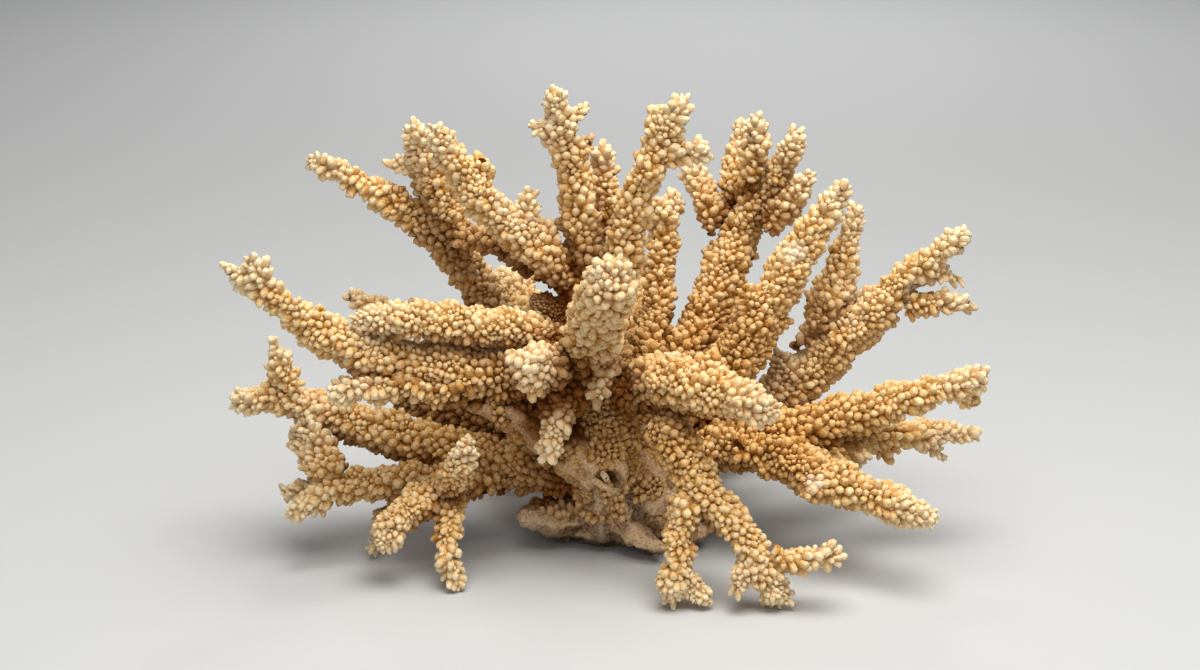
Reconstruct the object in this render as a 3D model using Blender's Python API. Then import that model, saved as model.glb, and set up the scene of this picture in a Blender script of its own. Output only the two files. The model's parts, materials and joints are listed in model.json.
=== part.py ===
"""A staghorn coral skeleton, cut off flat under its holdfast.

Metres, +Z up. The origin is the middle of the flat cut. +X runs along the longest side, and
-Y is the front. Each branch starts inside what it grows from and is trimmed to its surface.
"""

import math
import random
from dataclasses import dataclass

import bmesh
import bpy
from mathutils import Vector, noise

# Driving dimensions
MM = 0.001
RING_PITCH = 9.6 * MM
TWIG_PITCH = 7.5 * MM
WELD_DISTANCE = 0.001 * MM

# A neighbour is trimmed to a plain sleeve that stands this far off a branch's own radius.
SLEEVE_MARGIN = 1.1 * MM

# A lump stands this far over the valleys beside it, or this share of a thin branch's radius,
# and leans to the tip by a share of its height.
LUMP_HEIGHT = 2.6 * MM
GRAIN_HEIGHT = 1.1 * MM
LUMP_SHARE = 0.36
LUMP_LEAN = 0.5
LUMP_SPREAD = 0.35
TIP_SHARE = 0.5
# A tube this thick at its foot, in millimetres, has eight sides, and a thinner one has six.
THICK_FOOT = 10.5
EIGHT_SIDES = 2
SIX_SIDES = 1

CUTTER_SIZE = 0.5
HOLDFAST_TRIANGLES = 1000

# The crust that spreads over the rock under the trunk
CRUST_CENTRE = Vector((2, 0, 7)) * MM
CRUST_RADII = Vector((28, 20, 13)) * MM
CRUST_ROUGHNESS = 3 * MM
CRUST_WAVE = 11 * MM

# The low arch under the crust's front edge, between its two front toes
HOLLOW_CENTRE = Vector((-5, -33, 0)) * MM
HOLLOW_RADII = Vector((25, 20, 8)) * MM

GOLD = (0.60, 0.37, 0.16)
CREAM = (0.68, 0.50, 0.28)
BROWN = (0.33, 0.23, 0.16)
ROUGHNESS = 0.85


@dataclass
class Twig:
    """A short side shoot. Its route is in millimetres, foot first, and so are its radii."""

    route: tuple
    foot: float = 5
    tip: float = 3.5


@dataclass
class Branch:
    """A branch between two forks, or from a fork to its tip, in millimetres, foot first."""

    name: str
    route: tuple
    foot: float
    tip: float
    twigs: tuple = ()
    colour: tuple = GOLD
    granular: bool = False


TRUNK = Branch(
    "holdfast_and_trunk",
    ((2, -5, 5), (0, -10, 20), (-1, -14, 36), (-2, -11, 56), (-5, -8, 76), (-6, -10, 96)),
    foot=15,
    tip=11.5,
    colour=BROWN,
    granular=True,
)

# Tongues of crust that reach out from under the trunk
ROOTS = (
    Twig(((-6, -8, 13), (-22, -12, 13), (-38, -15, 16)), 9, 5),
    Twig(((-8, 2, 12), (-24, 4, 9), (-40, 4, 9)), 8, 6),
    Twig(((-10, -2, 8), (-22, -5, 5), (-32, -9, 2)), 8, 5),
    Twig(((2, -15, 14), (12, -23, 8), (22, -29, 2)), 8, 4),
    Twig(((10, -10, 9), (26, -11, 7), (41, -11, 4)), 10, 7),
    Twig(((10, -2, 9), (32, 4, 9), (52, 8, 12)), 9, 5),
    Twig(((3, -10, 46), (15, -12, 30), (24, -14, 12)), 13, 13),
    Twig(((4, 4, 9), (12, 17, 5), (18, 26, 2)), 10, 6),
    Twig(((-4, 4, 8), (-14, 13, 4), (-22, 20, 2)), 9, 5),
)

FRONT = (
    Branch(
        "front_centre_branch",
        ((-6, -20, 79), (-9, -38, 96), (-6, -58, 115), (-2, -74, 131), (0, -82, 142)),
        foot=12,
        tip=10,
        twigs=(
            Twig(((-4, -40, 94), (-5, -50, 85), (-7, -55, 76)), 6.5, 4.5),
        ),
        colour=CREAM,
    ),
    Branch(
        "front_right_branch",
        ((6, -20, 71), (17, -34, 81), (30, -50, 85), (44, -62, 85), (63, -74, 81)),
        foot=12.5,
        tip=6.5,
        twigs=(
            Twig(((39, -54, 85), (40, -52, 101)), 6, 5),
            Twig(((22, -38, 83), (24, -36, 93)), 7, 6),
        ),
        colour=CREAM,
    ),
    Branch(
        "front_leg",
        (
            (14, -26, 74),
            (26, -52, 59),
            (35, -60, 45),
            (47, -67, 34),
            (55, -72, 23),
            (60, -75, 13),
            (65, -76, 2),
        ),
        foot=10.4,
        tip=6,
        twigs=(
            Twig(((58, -74, 17), (65, -75, 9), (69, -75, 2)), 6, 4.5),
            Twig(((54, -72, 20), (51, -78, 14), (48, -82, 7)), 6, 4),
        ),
    ),
    Branch(
        "front_leg_right_toe",
        ((52, -71, 23), (64, -74, 21), (77, -76, 22), (93, -76, 23)),
        foot=7,
        tip=4.5,
        twigs=(
            Twig(((83, -76, 23), (83, -76, 30)), 4, 3),
        ),
    ),
    Branch(
        "front_second_leg",
        ((31, -59, 48), (28, -65, 37), (27, -70, 26), (25, -74, 14), (23, -76, 1)),
        foot=7.5,
        tip=5,
        twigs=(
            Twig(((26, -73, 16), (17, -76, 12)), 5.5, 4),
            Twig(((27, -73, 15), (38, -75, 3)), 5.5, 4),
        ),
    ),
    Branch(
        "front_left_stub",
        ((-12, -24, 83), (-21, -40, 90), (-28, -52, 93), (-37, -60, 94)),
        foot=10.5,
        tip=8.5,
        twigs=(
            Twig(((-28, -52, 94), (-41, -57, 101)), 6, 3.5),
            Twig(((-29, -54, 92), (-32, -58, 82)), 6.5, 4),
        ),
        colour=CREAM,
    ),
    Branch(
        "front_low_stub",
        ((-14, -28, 78), (-20, -42, 74), (-23, -49, 65), (-26, -52, 54)),
        foot=9,
        tip=5.5,
        colour=CREAM,
    ),
)

CENTRE = (
    Branch(
        "centre_tall_branch",
        ((-7, -8, 97), (-12, -12, 132), (-16, -16, 164), (-20, -19, 177), (-24, -25, 199)),
        foot=10,
        tip=5,
        twigs=(
            Twig(((-21, -19, 177), (-34, -23, 184)), 5, 3.5),
            Twig(((-19, -19, 178), (-11, -17, 190)), 5, 3.5),
            Twig(((-16, -17, 166), (-9, -15, 177)), 5, 3.5),
        ),
    ),
    Branch(
        "centre_right_branch",
        ((-1, -14, 99), (4, -20, 132), (11, -25, 160), (17, -27, 172), (29, -31, 197)),
        foot=9.5,
        tip=5,
        twigs=(
            Twig(((16, -27, 173), (20, -28, 192)), 6, 4),
            Twig(((17, -27, 171), (39, -31, 175)), 5.5, 4),
        ),
    ),
    Branch(
        "centre_middle_branch",
        ((0, 1, 103), (-1, 3, 135), (-4, 4, 171)),
        foot=8,
        tip=5.5,
    ),
    Branch(
        "centre_back_branch",
        ((10, 10, 67), (17, 24, 79), (20, 32, 95), (21, 38, 113), (27, 44, 141)),
        foot=9,
        tip=6,
        twigs=(
            Twig(((22, 40, 126), (16, 38, 140)), 6, 4),
        ),
    ),
)

UPPER_LEFT = (
    Branch(
        "upper_left_branch",
        (
            (-7, -2, 78),
            (-22, 8, 83),
            (-38, 14, 90),
            (-50, 16, 100),
            (-67, 10, 125),
            (-85, -1, 145),
            (-122, -17, 169),
        ),
        foot=10.5,
        tip=4,
    ),
    Branch(
        "upper_left_inner_fork",
        ((-65, 8, 129), (-72, 0, 154), (-77, -5, 168), (-80, -11, 183)),
        foot=10,
        tip=4,
        twigs=(
            Twig(((-79, -2, 161), (-91, -6, 163)), 5, 3),
        ),
    ),
    Branch(
        "upper_left_long_branch",
        ((-12, -12, 112), (-21, -14, 124), (-41, -22, 142), (-59, -27, 164), (-71, -31, 185)),
        foot=10,
        tip=5,
        twigs=(
            Twig(((-51, -25, 156), (-53, -24, 173)), 5.5, 3.5),
            Twig(((-34, -21, 139), (-34, -20, 158)), 6, 4),
            Twig(((-24, -18, 130), (-27, -17, 145)), 5, 3.5),
        ),
    ),
    Branch(
        "upper_left_broken_branch",
        ((-13, -4, 113), (-28, 0, 120), (-41, -1, 128), (-66, -5, 133)),
        foot=7.5,
        tip=5.5,
        colour=BROWN,
    ),
    Branch(
        "upper_left_back_fork",
        ((-27, 12, 88), (-32, 22, 95), (-38, 32, 101), (-35, 40, 112)),
        foot=8,
        tip=6,
        twigs=(
            Twig(((-38, 30, 100), (-51, 36, 108)), 6, 4),
        ),
    ),
    Branch(
        "worn_brown_stub",
        ((-11, -12, 92), (-21, -14, 101), (-33, -18, 112)),
        foot=9,
        tip=5.5,
        colour=BROWN,
        granular=True,
    ),
)

UPPER_RIGHT = (
    Branch(
        "upper_right_branch",
        ((15, 8, 54), (29, 20, 68), (44, 34, 96), (55, 40, 125), (64, 38, 139), (79, 30, 171)),
        foot=12.5,
        tip=5,
    ),
    Branch(
        "upper_right_left_fork",
        ((49, 38, 119), (44, 44, 131), (33, 54, 152)),
        foot=8,
        tip=5.5,
    ),
    Branch(
        "upper_right_tall_fork",
        ((54, 42, 125), (54, 50, 138), (54, 58, 154), (58, 64, 168)),
        foot=8.5,
        tip=5,
    ),
    Branch(
        "upper_right_middle_fork",
        ((58, 38, 130), (61, 36, 146), (60, 32, 177)),
        foot=8.5,
        tip=5,
    ),
    Branch(
        "upper_right_short_fork",
        ((61, 36, 129), (69, 30, 133), (76, 26, 141), (82, 24, 155)),
        foot=7.5,
        tip=4,
    ),
)

RIGHT = (
    Branch(
        "right_long_branch",
        (
            (18, -2, 47),
            (41, 10, 48),
            (62, 18, 52),
            (80, 20, 64),
            (105, 14, 91),
            (124, 10, 113),
            (146, 4, 134),
        ),
        foot=12.5,
        tip=5,
        twigs=(
            Twig(((129, 9, 116), (145, 6, 111)), 5, 3.5),
            Twig(((76, 18, 61), (69, 16, 80)), 7, 4),
        ),
    ),
    Branch(
        "right_side_branch",
        (
            (12, -10, 38),
            (32, -8, 41),
            (53, -10, 46),
            (73, -14, 53),
            (93, -19, 60),
            (130, -28, 75),
            (152, -32, 84),
        ),
        foot=12,
        tip=4.5,
        twigs=(
            Twig(((136, -28, 75), (148, -27, 69)), 5, 3),
        ),
    ),
    Branch(
        "right_spear_branch",
        ((32, 0, 52), (44, 3, 66), (62, 6, 97), (78, 8, 124), (96, 12, 151)),
        foot=12,
        tip=5,
        twigs=(
            Twig(((58, 5, 94), (54, -1, 111)), 6, 4),
            Twig(((61, 6, 93), (74, 8, 95)), 6, 4),
        ),
    ),
    Branch(
        "right_upright_fork",
        ((83, 21, 68), (88, 21, 84), (95, 23, 110), (103, 25, 139)),
        foot=10.5,
        tip=4,
        twigs=(
            Twig(((95, 22, 101), (109, 24, 99)), 5.5, 3.5),
        ),
    ),
    Branch(
        "right_long_fork",
        ((115, 11, 101), (126, 8, 102), (151, 1, 102)),
        foot=7.5,
        tip=3.5,
    ),
    Branch(
        "right_under_branch",
        ((88, -12, 54), (105, -8, 50), (124, -5, 48), (155, -2, 48)),
        foot=8,
        tip=4,
        twigs=(
            Twig(((132, -4, 46), (140, -6, 36)), 5, 3),
            Twig(((112, -6, 47), (115, -7, 38)), 5, 3),
        ),
    ),
    Branch(
        "right_low_branch",
        ((52, -14, 46), (65, -21, 46), (93, -42, 40), (109, -51, 36), (128, -61, 33)),
        foot=11,
        tip=6,
        twigs=(
            Twig(((82, -34, 42), (80, -45, 39), (77, -49, 34)), 7, 5.5),
        ),
    ),
    Branch(
        "right_back_short_branch",
        ((58, -10, 47), (80, 8, 41), (98, 22, 31), (113, 32, 27)),
        foot=8,
        tip=5,
    ),
)

LEFT = (
    Branch(
        "left_long_branch",
        (
            (-10, -18, 75),
            (-29, -26, 80),
            (-49, -32, 84),
            (-73, -38, 89),
            (-92, -43, 94),
            (-118, -52, 109),
            (-134, -60, 128),
            (-138, -64, 141),
        ),
        foot=13,
        tip=4,
        twigs=(
            Twig(((-131, -59, 123), (-141, -61, 129), (-149, -62, 138)), 5.5, 3.5),
            Twig(((-113, -51, 106), (-113, -50, 119)), 5, 3),
        ),
    ),
    Branch(
        "left_ridge_branch",
        ((-11, -18, 87), (-29, -28, 97), (-45, -34, 104), (-83, -45, 110), (-101, -50, 112)),
        foot=9.5,
        tip=7.5,
    ),
    Branch(
        "left_lower_fork",
        ((-53, -36, 81), (-72, -43, 83), (-88, -48, 85), (-112, -57, 84)),
        foot=10,
        tip=5,
    ),
    Branch(
        "left_shelf",
        ((-8, -18, 36), (-19, -24, 49), (-29, -28, 59), (-43, -32, 69), (-60, -34, 74)),
        foot=11,
        tip=5,
        colour=BROWN,
        granular=True,
    ),
    Branch(
        "left_back_branch",
        ((-38, 0, 86), (-63, 4, 93), (-84, 8, 96), (-99, 12, 98), (-113, 16, 103)),
        foot=9,
        tip=4,
    ),
    Branch(
        "left_dark_branch",
        ((-10, 0, 38), (-28, 4, 42), (-66, 12, 52), (-95, 18, 57)),
        foot=9.5,
        tip=5.5,
        colour=BROWN,
    ),
)

LOWER_LEFT = (
    Branch(
        "lower_left_branch",
        (
            (-7, -8, 30),
            (-30, -6, 34),
            (-55, -4, 37),
            (-76, -3, 42),
            (-111, -5, 56),
            (-139, -12, 66),
            (-157, -18, 66),
        ),
        foot=12,
        tip=6,
    ),
    Branch(
        "lower_left_second_branch",
        ((-45, -10, 33), (-63, -14, 31), (-98, -21, 33), (-112, -24, 32), (-133, -36, 24)),
        foot=10,
        tip=4.5,
        twigs=(
            Twig(((-118, -22, 31), (-128, -17, 28), (-140, -12, 25)), 6, 3.5),
        ),
    ),
    Branch(
        "lower_left_upright_fork",
        ((-129, -10, 62), (-133, -13, 73), (-138, -19, 95)),
        foot=7,
        tip=3,
    ),
    Branch(
        "lower_left_bridge",
        ((-113, -21, 33), (-122, -17, 44), (-129, -10, 62)),
        foot=10,
        tip=8,
    ),
    Branch(
        "lower_left_front_branch",
        ((-63, -17, 31), (-70, -30, 32), (-80, -42, 31), (-87, -51, 27), (-92, -56, 17)),
        foot=9,
        tip=8,
        colour=CREAM,
    ),
    Branch(
        "lower_left_front_fork",
        ((-69, -31, 33), (-62, -42, 46), (-56, -52, 63)),
        foot=8,
        tip=4.5,
        colour=CREAM,
    ),
    Branch(
        "lower_left_leg",
        ((-66, -29, 32), (-66, -46, 25), (-66, -54, 15), (-61, -58, 1)),
        foot=7,
        tip=4.5,
    ),
    Branch(
        "lower_left_foot",
        ((-84, -22, 33), (-94, -22, 15), (-101, -23, 2)),
        foot=6.5,
        tip=5,
    ),
)

BACK = (
    Branch(
        "back_left_branch",
        ((-7, 2, 62), (-20, 26, 58), (-36, 54, 57), (-50, 78, 64), (-55, 94, 77)),
        foot=11,
        tip=5,
        twigs=(
            Twig(((-34, 52, 57), (-52, 54, 50)), 6, 4),
            Twig(((-47, 72, 60), (-38, 86, 62)), 5.5, 3.5),
        ),
    ),
    Branch(
        "back_middle_branch",
        ((1, 10, 66), (6, 34, 68), (10, 62, 70), (9, 86, 78), (12, 104, 91)),
        foot=11,
        tip=5,
        twigs=(
            Twig(((8, 52, 70), (24, 64, 74)), 6, 4),
            Twig(((9, 74, 73), (-6, 86, 70)), 5.5, 3.5),
        ),
    ),
    Branch(
        "back_right_branch",
        ((12, 8, 49), (24, 30, 46), (38, 56, 46), (50, 78, 52), (55, 92, 63)),
        foot=11,
        tip=5,
        twigs=(
            Twig(((34, 48, 46), (52, 52, 42)), 6, 4),
            Twig(((46, 71, 50), (38, 85, 48)), 5.5, 3.5),
        ),
    ),
    Branch(
        "back_low_left_branch",
        ((-7, 6, 31), (-20, 28, 26), (-34, 52, 20), (-50, 74, 18), (-60, 86, 21)),
        foot=9.5,
        tip=5,
        twigs=(
            Twig(((-32, 50, 20), (-50, 50, 14)), 6, 4),
        ),
    ),
    Branch(
        "back_low_right_branch",
        ((12, 8, 34), (26, 30, 28), (42, 56, 22), (60, 78, 19), (68, 88, 22)),
        foot=9.5,
        tip=5,
        twigs=(
            Twig(((40, 52, 23), (58, 54, 18)), 6, 4),
        ),
    ),
    Branch(
        "back_upper_branch",
        ((-4, -6, 82), (-4, 30, 92), (-7, 54, 99), (-9, 74, 112), (-8, 84, 127)),
        foot=10,
        tip=5,
        twigs=(
            Twig(((-6, 50, 97), (-22, 60, 106)), 6, 4),
        ),
    ),
)

# Each branch is trimmed to the ones before it.
BRANCHES = FRONT + CENTRE + UPPER_LEFT + UPPER_RIGHT + RIGHT + LEFT + LOWER_LEFT + BACK


def clear_scene():
    for old in list(bpy.data.objects):
        bpy.data.objects.remove(old, do_unlink=True)


def new_collection(name):
    collection = bpy.data.collections.new(name)
    bpy.context.scene.collection.children.link(collection)
    return collection


def catmull_rom(before, start, end, after, t):
    """The point a share t of the way from start to end on the curve through all four."""
    return 0.5 * (
        2 * start
        + (end - before) * t
        + (2 * before - 5 * start + 4 * end - after) * t**2
        + (3 * start - before - 3 * end + after) * t**3
    )


def smooth_points(points, steps=24):
    """Close points on the smooth curve through the given ones."""
    ends = [2 * points[0] - points[1], *points, 2 * points[-1] - points[-2]]
    curve = [
        catmull_rom(*ends[i : i + 4], step / steps)
        for i in range(len(points) - 1)
        for step in range(steps)
    ]
    return curve + [points[-1]]


def point_at(curve, distance):
    """The point this far along the curve from its first point."""
    for start, end in zip(curve, curve[1:]):
        step = (end - start).length
        if distance <= step:
            return start.lerp(end, distance / step)
        distance -= step
    return curve[-1]


def dome_radius(radius, to_end):
    """Radius of a round end, this far from its last point."""
    inward = min(to_end / radius, 1)
    return radius * math.sqrt(max(1 - (1 - inward) ** 2, TIP_SHARE**2))


def rings_of(shape, pitch, margin):
    """(centre, radius) of each ring along a branch, with a round end."""
    curve = smooth_points([Vector(point) * MM for point in shape.route])
    length = sum((end - start).length for start, end in zip(curve, curve[1:]))
    straight = length - shape.tip * MM
    count = max(round(straight / pitch), 1)
    distances = [straight * i / count for i in range(count + 1)] + [length]
    rings = []
    for distance in distances:
        taper = (shape.foot - shape.tip) * (distance / length) ** 2
        radius = (shape.foot - taper) * MM
        rings.append((point_at(curve, distance), dome_radius(radius, length - distance) + margin))
    back = (curve[0] - curve[1]).normalized()
    onward = (curve[-1] - curve[-2]).normalized()
    rings[0] = (rings[0][0] + margin * back, rings[0][1])
    rings[-1] = (rings[-1][0] + margin * onward, rings[-1][1])
    return rings


def tube_mesh(name, rings, resolution):
    """A curve with a bevel through the rings, as a mesh whose caps are still loose."""
    curve = bpy.data.curves.new(name, "CURVE")
    curve.dimensions = "3D"
    curve.bevel_depth = 1
    curve.bevel_resolution = resolution
    curve.use_fill_caps = True
    spline = curve.splines.new("POLY")
    spline.points.add(len(rings) - 1)
    for point, (centre, radius) in zip(spline.points, rings):
        point.co = (*centre, 1)
        point.radius = radius
    obj = bpy.data.objects.new(name, curve)
    bpy.context.scene.collection.objects.link(obj)
    graph = bpy.context.evaluated_depsgraph_get()
    mesh = bpy.data.meshes.new_from_object(obj.evaluated_get(graph))
    bpy.data.objects.remove(obj, do_unlink=True)
    bpy.data.curves.remove(curve)
    mesh.name = name
    return mesh


def raise_lumps(mesh, rings, height, draw):
    """Lowers every other point of the tube into a valley and leans the points between to the tip.

    The mesh lists the last ring, the first ring, and then each ring in turn.
    """
    sides = len(mesh.vertices) // (len(rings) + 2)
    order = [len(rings) - 1, 0, *range(len(rings))]
    moves = {}
    for place, vertex in enumerate(mesh.vertices):
        ring = order[place // sides]
        side = place % sides
        centre, radius = rings[ring]
        if (ring, side) not in moves:
            outward = (vertex.co - centre).normalized()
            ahead = rings[min(ring + 1, len(rings) - 1)][0]
            behind = rings[max(ring - 1, 0)][0]
            along = (ahead - behind).normalized()
            lump = min(height, LUMP_SHARE * radius)
            lump *= 1 + LUMP_SPREAD * draw.uniform(-1, 1)
            if (ring + side) % 2:
                moves[ring, side] = -lump * outward
            else:
                moves[ring, side] = LUMP_LEAN * lump * along
        vertex.co += moves[ring, side]


def weld_and_triangulate(mesh):
    """Closes a tube's loose caps. The short diagonals run through the valleys between lumps."""
    work = bmesh.new()
    work.from_mesh(mesh)
    bmesh.ops.remove_doubles(work, verts=work.verts, dist=WELD_DISTANCE)
    bmesh.ops.triangulate(work, faces=work.faces, quad_method="SHORT_EDGE")
    bmesh.ops.recalc_face_normals(work, faces=work.faces)
    work.to_mesh(mesh)
    work.free()


def triangulate(mesh):
    work = bmesh.new()
    work.from_mesh(mesh)
    bmesh.ops.triangulate(work, faces=work.faces, quad_method="SHORT_EDGE")
    work.to_mesh(mesh)
    work.free()


def tube(name, shape, collection, pitch=RING_PITCH, height=LUMP_HEIGHT, margin=0, draw=None):
    """An object: a tube along the shape's route, with lumps in rows that alternate, or plain."""
    resolution = EIGHT_SIDES if shape.foot >= THICK_FOOT else SIX_SIDES
    rings = rings_of(shape, pitch, margin)
    mesh = tube_mesh(name, rings, resolution)
    if draw:
        raise_lumps(mesh, rings, height, draw)
    weld_and_triangulate(mesh)
    obj = bpy.data.objects.new(name, mesh)
    collection.objects.link(obj)
    return obj


def combine(obj, other, operation):
    """Applies one Boolean to the object's mesh. The exact solver loses some of these rough tubes."""
    modifier = obj.modifiers.new(operation.lower(), "BOOLEAN")
    modifier.operation = operation
    modifier.solver = "MANIFOLD"
    modifier.object = other
    graph = bpy.context.evaluated_depsgraph_get()
    result = bpy.data.meshes.new_from_object(obj.evaluated_get(graph))
    obj.modifiers.remove(modifier)
    before = obj.data
    obj.data = result
    bpy.data.meshes.remove(before)


def thin_out(obj, triangles):
    """Takes the slivers out of a joined or trimmed mesh until it has this many triangles."""
    triangulate(obj.data)
    if len(obj.data.polygons) <= triangles:
        return
    modifier = obj.modifiers.new("thin out", "DECIMATE")
    modifier.ratio = triangles / len(obj.data.polygons)
    graph = bpy.context.evaluated_depsgraph_get()
    result = bpy.data.meshes.new_from_object(obj.evaluated_get(graph))
    obj.modifiers.remove(modifier)
    before = obj.data
    obj.data = result
    bpy.data.meshes.remove(before)


def keep_largest_piece(mesh):
    """Deletes what a cut leaves loose, such as a lump on the far side of a neighbour."""
    work = bmesh.new()
    work.from_mesh(mesh)
    unseen = set(work.verts)
    pieces = []
    while unseen:
        waiting = [unseen.pop()]
        piece = set(waiting)
        while waiting:
            vertex = waiting.pop()
            near = {edge.other_vert(vertex) for edge in vertex.link_edges} - piece
            piece |= near
            waiting += near
        unseen -= piece
        pieces.append(piece)
    largest = max(pieces, key=len)
    loose = [vertex for vertex in work.verts if vertex not in largest]
    bmesh.ops.delete(work, geom=loose, context="VERTS")
    work.to_mesh(mesh)
    work.free()


def box_of(obj):
    """The lowest and the highest corner of the object's mesh."""
    points = [vertex.co for vertex in obj.data.vertices]
    low = Vector([min(point[axis] for point in points) for axis in range(3)])
    high = Vector([max(point[axis] for point in points) for axis in range(3)])
    return low, high


def boxes_meet(a, b):
    low_a, high_a = box_of(a)
    low_b, high_b = box_of(b)
    return all(low_a[axis] < high_b[axis] and low_b[axis] < high_a[axis] for axis in range(3))


def discard(obj):
    mesh = obj.data
    bpy.data.objects.remove(obj, do_unlink=True)
    bpy.data.meshes.remove(mesh)


def fuse(obj, other):
    """Joins the other solid to the object's own and deletes it."""
    combine(obj, other, "UNION")
    discard(other)


def coral_material(name, colour):
    material = bpy.data.materials.new(name)
    material.use_nodes = True
    shader = material.node_tree.nodes["Principled BSDF"]
    shader.inputs["Base Color"].default_value = (*colour, 1)
    shader.inputs["Roughness"].default_value = ROUGHNESS
    shader.inputs["Metallic"].default_value = 0
    return material


def mound(name, collection, centre, radii, roughness=0, margin=0):
    """An egg-shaped solid whose surface is pushed in and out."""
    work = bmesh.new()
    bmesh.ops.create_icosphere(work, subdivisions=2, radius=1)
    for vertex in work.verts:
        outward = vertex.co.normalized()
        place = Vector([outward[axis] * radii[axis] for axis in range(3)])
        wobble = noise.noise(place / CRUST_WAVE)
        vertex.co = centre + place + (roughness * wobble + margin) * outward
    mesh = bpy.data.meshes.new(name)
    work.to_mesh(mesh)
    work.free()
    obj = bpy.data.objects.new(name, mesh)
    collection.objects.link(obj)
    return obj


def crust(name, collection, margin=0):
    """The rough mound under the trunk, whose lower half the flat cut takes off."""
    return mound(name, collection, CRUST_CENTRE, CRUST_RADII, CRUST_ROUGHNESS, margin)


def floor_cutter(cutters):
    """A block under z = 0, which leaves the flat cut and flattens the toes that touch it."""
    work = bmesh.new()
    bmesh.ops.create_cube(work, size=CUTTER_SIZE)
    bmesh.ops.translate(work, verts=work.verts, vec=(0, 0, -CUTTER_SIZE / 2))
    mesh = bpy.data.meshes.new("floor_cutter")
    work.to_mesh(mesh)
    work.free()
    cutter = bpy.data.objects.new("floor_cutter", mesh)
    cutter.display_type = "WIRE"
    cutter.hide_render = True
    cutters.objects.link(cutter)
    return cutter


def grow(branch, parts):
    """One branch with its twigs fused on, not yet trimmed to what it grows from."""
    draw = random.Random(branch.name)
    height = GRAIN_HEIGHT if branch.granular else LUMP_HEIGHT
    obj = tube(branch.name, branch, parts, height=height, draw=draw)
    triangles = len(obj.data.polygons)
    for twig in branch.twigs:
        shoot = tube("twig", twig, parts, pitch=TWIG_PITCH, draw=draw)
        triangles += len(shoot.data.polygons)
        fuse(obj, shoot)
    thin_out(obj, triangles)
    return obj


def grow_holdfast(parts, floor):
    """The trunk with the crust and its tongues, cut off flat."""
    draw = random.Random(TRUNK.name)
    obj = grow(TRUNK, parts)
    fuse(obj, crust("crust", parts))
    for root in ROOTS:
        fuse(obj, tube("root", root, parts, height=GRAIN_HEIGHT, draw=draw))
    hollow = mound("hollow", parts, HOLLOW_CENTRE, HOLLOW_RADII)
    combine(obj, hollow, "DIFFERENCE")
    discard(hollow)
    combine(obj, floor, "DIFFERENCE")
    thin_out(obj, HOLDFAST_TRIANGLES)
    return obj


def sleeves_of(branch, cutters):
    """Plain tubes that stand just off a branch's lumps and its twigs'."""
    sleeves = [tube("sleeve", branch, cutters, margin=SLEEVE_MARGIN)]
    for twig in branch.twigs:
        sleeves.append(tube("sleeve", twig, cutters, pitch=TWIG_PITCH, margin=SLEEVE_MARGIN))
    return sleeves


def finish(obj, colour):
    obj.data.name = obj.name
    obj.data.materials.clear()
    obj.data.materials.append(coral_material(obj.name, colour))
    obj.data.shade_smooth()


def main():
    clear_scene()
    parts = new_collection("staghorn_coral")
    cutters = new_collection("cutters")
    floor = floor_cutter(cutters)

    finish(grow_holdfast(parts, floor), TRUNK.colour)
    sleeves = sleeves_of(TRUNK, cutters) + [crust("crust_sleeve", cutters, SLEEVE_MARGIN)]
    for root in ROOTS:
        sleeves.append(tube("sleeve", root, cutters, margin=SLEEVE_MARGIN))

    for branch in BRANCHES:
        obj = grow(branch, parts)
        triangles = len(obj.data.polygons)
        if box_of(obj)[0].z < 0:
            combine(obj, floor, "DIFFERENCE")
        for sleeve in sleeves:
            if boxes_meet(obj, sleeve):
                combine(obj, sleeve, "DIFFERENCE")
                keep_largest_piece(obj.data)
        thin_out(obj, triangles)
        finish(obj, branch.colour)
        sleeves += sleeves_of(branch, cutters)

    for sleeve in sleeves:
        discard(sleeve)


main()
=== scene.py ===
"""The knobbly skin and the colours of a staghorn coral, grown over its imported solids.

Every solid is rounded off into a core, and small cups are set all over it, leaning to the
tips of the branches. The trunk's foot and the shelf beside it keep a bare, porous crust.
Lengths are in metres, unless a comment says millimetres.
"""

import heapq
import json
import math
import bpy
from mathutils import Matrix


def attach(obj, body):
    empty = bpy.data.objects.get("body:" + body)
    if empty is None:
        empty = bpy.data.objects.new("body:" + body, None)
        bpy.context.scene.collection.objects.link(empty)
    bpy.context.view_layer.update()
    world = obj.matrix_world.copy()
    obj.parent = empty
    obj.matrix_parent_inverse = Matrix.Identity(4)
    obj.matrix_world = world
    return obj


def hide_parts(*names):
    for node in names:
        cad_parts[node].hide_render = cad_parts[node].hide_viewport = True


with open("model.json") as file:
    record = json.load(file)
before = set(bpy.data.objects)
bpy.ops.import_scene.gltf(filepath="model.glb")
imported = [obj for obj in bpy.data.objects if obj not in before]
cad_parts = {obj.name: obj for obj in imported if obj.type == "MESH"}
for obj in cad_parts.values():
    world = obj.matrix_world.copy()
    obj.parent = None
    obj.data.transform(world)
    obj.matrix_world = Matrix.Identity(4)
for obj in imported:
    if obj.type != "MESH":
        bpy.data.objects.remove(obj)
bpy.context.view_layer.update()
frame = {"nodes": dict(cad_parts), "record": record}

import zlib

import bpy
import numpy as np
from mathutils import Vector, noise
from mathutils.kdtree import KDTree

MM = 0.001
HOLDFAST = "holdfast_and_trunk"
SHELF = "left_shelf"
CRUSTED = (HOLDFAST, SHELF)

# Voxels of the core under the cups, and the finer ones of a core that shows bare crust
CORE_VOXEL = 2.1 * MM
CRUST_VOXEL = 0.8 * MM
# A core's facets are smoothed over about this width.
ROUNDING = 9 * MM
# Under the cups a core lies this far in, and swells and sinks by this much over this width.
CORE_INSET = 0.9 * MM
CORE_SWELL = 2.4 * MM
SWELL_WAVE = 6.5 * MM

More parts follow.
